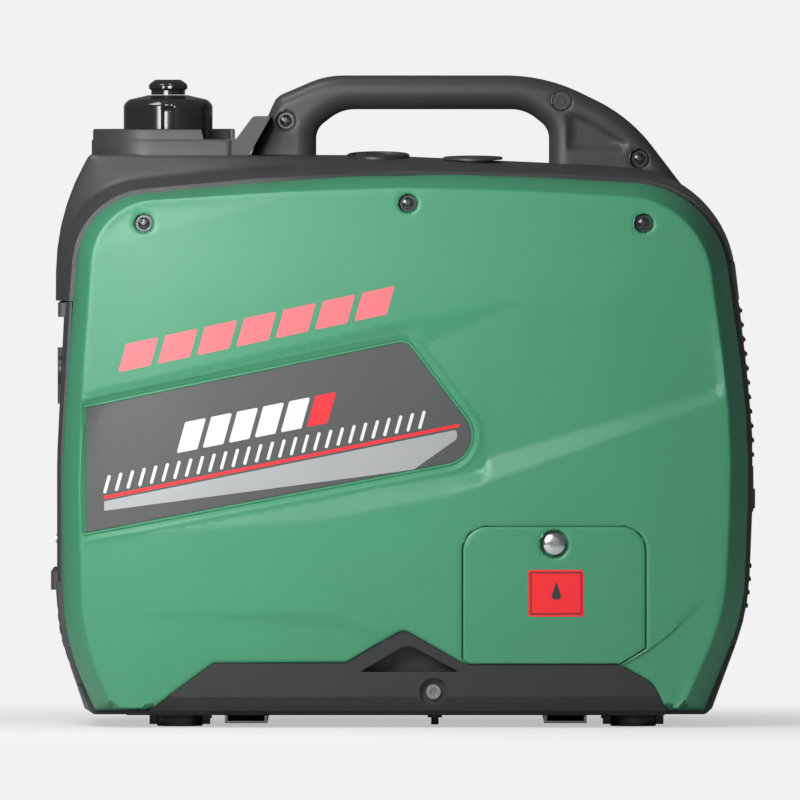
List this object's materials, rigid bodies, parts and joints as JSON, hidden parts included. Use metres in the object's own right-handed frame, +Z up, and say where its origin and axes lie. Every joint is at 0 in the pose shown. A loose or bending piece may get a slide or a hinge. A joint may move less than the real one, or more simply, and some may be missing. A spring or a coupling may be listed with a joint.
{
  "type": "portable generator",
  "caption": "Suitcase-style portable inverter generator: green side panels on a dark case, carry handle, fuel cap in a collar, control panel, exhaust grille, service doors and pull starter.",
  "frame": {"origin": "on the ground under the centre of the case's plan", "axes": "+X from the control end to the exhaust end, along the handle; +Y to the starter side, across the case; +Z up"},
  "size_m": [0.498, 0.29, 0.459],
  "materials": {
    "dark_shell": "fine moulded grain, charcoal grey",
    "green_panel": "fine moulded grain, sea green",
    "black_plastic": "satin black",
    "gloss_black": "polished black, used on the fuel cap",
    "panel_grey": "control plate grey",
    "badge_grey": null,
    "rubber": "moulded rubber",
    "screw_steel": "plated steel",
    "dark_steel": "black painted steel",
    "alloy": "die-cast aluminium",
    "iron": "rough casting",
    "copper_winding": "enamelled copper on laminations",
    "strainer": "translucent white mesh",
    "red_button": "red button",
    "lamp": "small coloured lenses",
    "yellow_cap": "yellow oil cap",
    "rope": "braided starter cord"
  },
  "bodies": {
    "case": {"top_shell_oil_side": "dark_shell", "top_shell_starter_side": "dark_shell", "filler_collar": "dark_shell", "front_bezel": "dark_shell", "control_plate": "panel_grey", "rear_grille": "dark_shell", "base_tray": "dark_shell", "side_panel_oil_side": "green_panel", "side_panel_starter_side": "green_panel", "side_badges": "badge_grey", "blanking_plugs": "dark_shell", "panel_screws": "screw_steel", "handle_screws": "screw_steel", "base_screws": "screw_steel", "rubber_feet": "rubber", "base_rails": "dark_steel", "drain_nipple": "rubber", "fuel_tank": "dark_steel", "fuel_strainer": "strainer", "fuel_cock": "alloy", "fuel_hose": "rubber", "crankcase": "alloy", "cylinder": "alloy", "valve_cover": "alloy", "stator": "copper_winding", "recoil_housing": "black_plastic", "carburettor": "alloy", "air_cleaner": "black_plastic", "muffler": "dark_steel", "spark_arrester": "dark_steel", "spark_plug": "black_plastic", "engine_mounts": "rubber", "inverter_unit": "alloy", "mains_sockets": "black_plastic", "dc_socket": "black_plastic", "indicator_lamps": "lamp", "earth_stud": "screw_steel"},
    "cap_plug": {"fuel_cap_plug": "black_plastic"},
    "fuel_cap": {"fuel_cap": "gloss_black"},
    "vent_knob": {"vent_knob": "gloss_black"},
    "starter_pull": {"recoil_grip": "black_plastic", "recoil_rope": "rope"},
    "starter_reel": {"recoil_reel": "black_plastic"},
    "crank": {"crankshaft": "screw_steel", "rotor": "iron", "cooling_fan": "black_plastic"},
    "oil_door": {"oil_door": "green_panel"},
    "oil_door_screw": {"oil_door_screw": "screw_steel"},
    "filter_door": {"filter_door": "green_panel"},
    "filter_door_screw": {"filter_door_screw": "screw_steel"},
    "spark_plug_cover": {"spark_plug_cover": "black_plastic"},
    "oil_filler_cap": {"oil_filler_cap": "yellow_cap"},
    "run_knob": {"run_knob": "black_plastic"},
    "choke_knob": {"choke_knob": "black_plastic"},
    "eco_switch": {"eco_switch": "black_plastic"},
    "mains_breaker": {"mains_breaker": "red_button"},
    "dc_breaker": {"dc_breaker": "black_plastic"},
    "socket_lid_left": {"socket_lid_left": "black_plastic"},
    "socket_lid_right": {"socket_lid_right": "black_plastic"},
    "earth_nut": {"earth_nut": "screw_steel"}
  },
  "joints": [
    {"name": "fuel_cap_lift", "type": "slide", "parent": "case", "child": "cap_plug", "axis": [0, 0, 1], "range_m": [0, 0.12]},
    {"name": "fuel_cap_turn", "type": "hinge", "parent": "cap_plug", "child": "fuel_cap", "pos_m": [-0.167, 0, 0.43], "axis": [0, 0, 1], "range_deg": [0, 90]},
    {"name": "vent_knob_turn", "type": "hinge", "parent": "fuel_cap", "child": "vent_knob", "pos_m": [-0.167, 0, 0.45], "axis": [0, 0, 1], "range_deg": [0, 90]},
    {"name": "starter_pull", "type": "slide", "parent": "case", "child": "starter_pull", "axis": [0, 1, 0], "range_m": [0, 0.22]},
    {"name": "starter_reel_turn", "type": "hinge", "parent": "case", "child": "starter_reel", "pos_m": [0.08, 0.074, 0.128], "axis": [0, 1, 0], "range_deg": [0, 350]},
    {"name": "crank_turn", "type": "hinge", "parent": "case", "child": "crank", "pos_m": [0.08, 0.02, 0.128], "axis": [0, 1, 0], "continuous": true},
    {"name": "oil_door_tilt", "type": "hinge", "parent": "case", "child": "oil_door", "pos_m": [0.106, -0.145, 0.0446], "axis": [1, 0, 0], "range_deg": [0, 75]},
    {"name": "oil_door_screw_turn", "type": "hinge", "parent": "oil_door", "child": "oil_door_screw", "pos_m": [0.106, -0.14, 0.1292], "axis": [0, 1, 0], "range_deg": [0, 90]},
    {"name": "filter_door_tilt", "type": "hinge", "parent": "case", "child": "filter_door", "pos_m": [0.1, 0.145, 0.2244], "axis": [-1, 0, 0], "range_deg": [0, 75]},
    {"name": "filter_door_screw_turn", "type": "hinge", "parent": "filter_door", "child": "filter_door_screw", "pos_m": [0.1, 0.14, 0.298], "axis": [0, -1, 0], "range_deg": [0, 90]},
    {"name": "spark_plug_cover_lift", "type": "slide", "parent": "case", "child": "spark_plug_cover", "axis": [0, 0, 1], "range_m": [0, 0.025]},
    {"name": "oil_filler_cap_turn", "type": "hinge", "parent": "case", "child": "oil_filler_cap", "pos_m": [0.1, -0.09, 0.084], "axis": [0, 1, 0], "range_deg": [0, 360]},
    {"name": "run_knob_turn", "type": "hinge", "parent": "case", "child": "run_knob", "pos_m": [-0.231, 0.056, 0.2456], "axis": [1, 0, 0], "range_deg": [0, 90]},
    {"name": "choke_pull", "type": "slide", "parent": "case", "child": "choke_knob", "axis": [-1, 0, 0], "range_m": [0, 0.014]},
    {"name": "eco_switch_rock", "type": "hinge", "parent": "case", "child": "eco_switch", "pos_m": [-0.23, -0.03, 0.2516], "axis": [0, 1, 0], "range_deg": [0, 14]},
    {"name": "mains_breaker_trip", "type": "slide", "parent": "case", "child": "mains_breaker", "axis": [-1, 0, 0], "range_m": [0, 0.003]},
    {"name": "dc_breaker_trip", "type": "slide", "parent": "case", "child": "dc_breaker", "axis": [-1, 0, 0], "range_m": [0, 0.003]},
    {"name": "socket_lid_left_lift", "type": "hinge", "parent": "case", "child": "socket_lid_left", "pos_m": [-0.2385, 0.046, 0.1921], "axis": [0, 1, 0], "range_deg": [0, 105], "stiffness_Nm_per_rad": 0.02, "springref_deg": -20.05},
    {"name": "socket_lid_right_lift", "type": "hinge", "parent": "case", "child": "socket_lid_right", "pos_m": [-0.2385, -0.016, 0.1921], "axis": [0, 1, 0], "range_deg": [0, 105], "stiffness_Nm_per_rad": 0.02, "springref_deg": -20.05},
    {"name": "earth_nut_turn", "type": "hinge", "parent": "case", "child": "earth_nut", "pos_m": [-0.235, -0.066, 0.1316], "axis": [1, 0, 0], "range_deg": [0, 360]}
  ],
  "couplings": [
    {"joint": "starter_reel_turn", "follows": "starter_pull", "rad_per_m": 27.397}
  ]
}
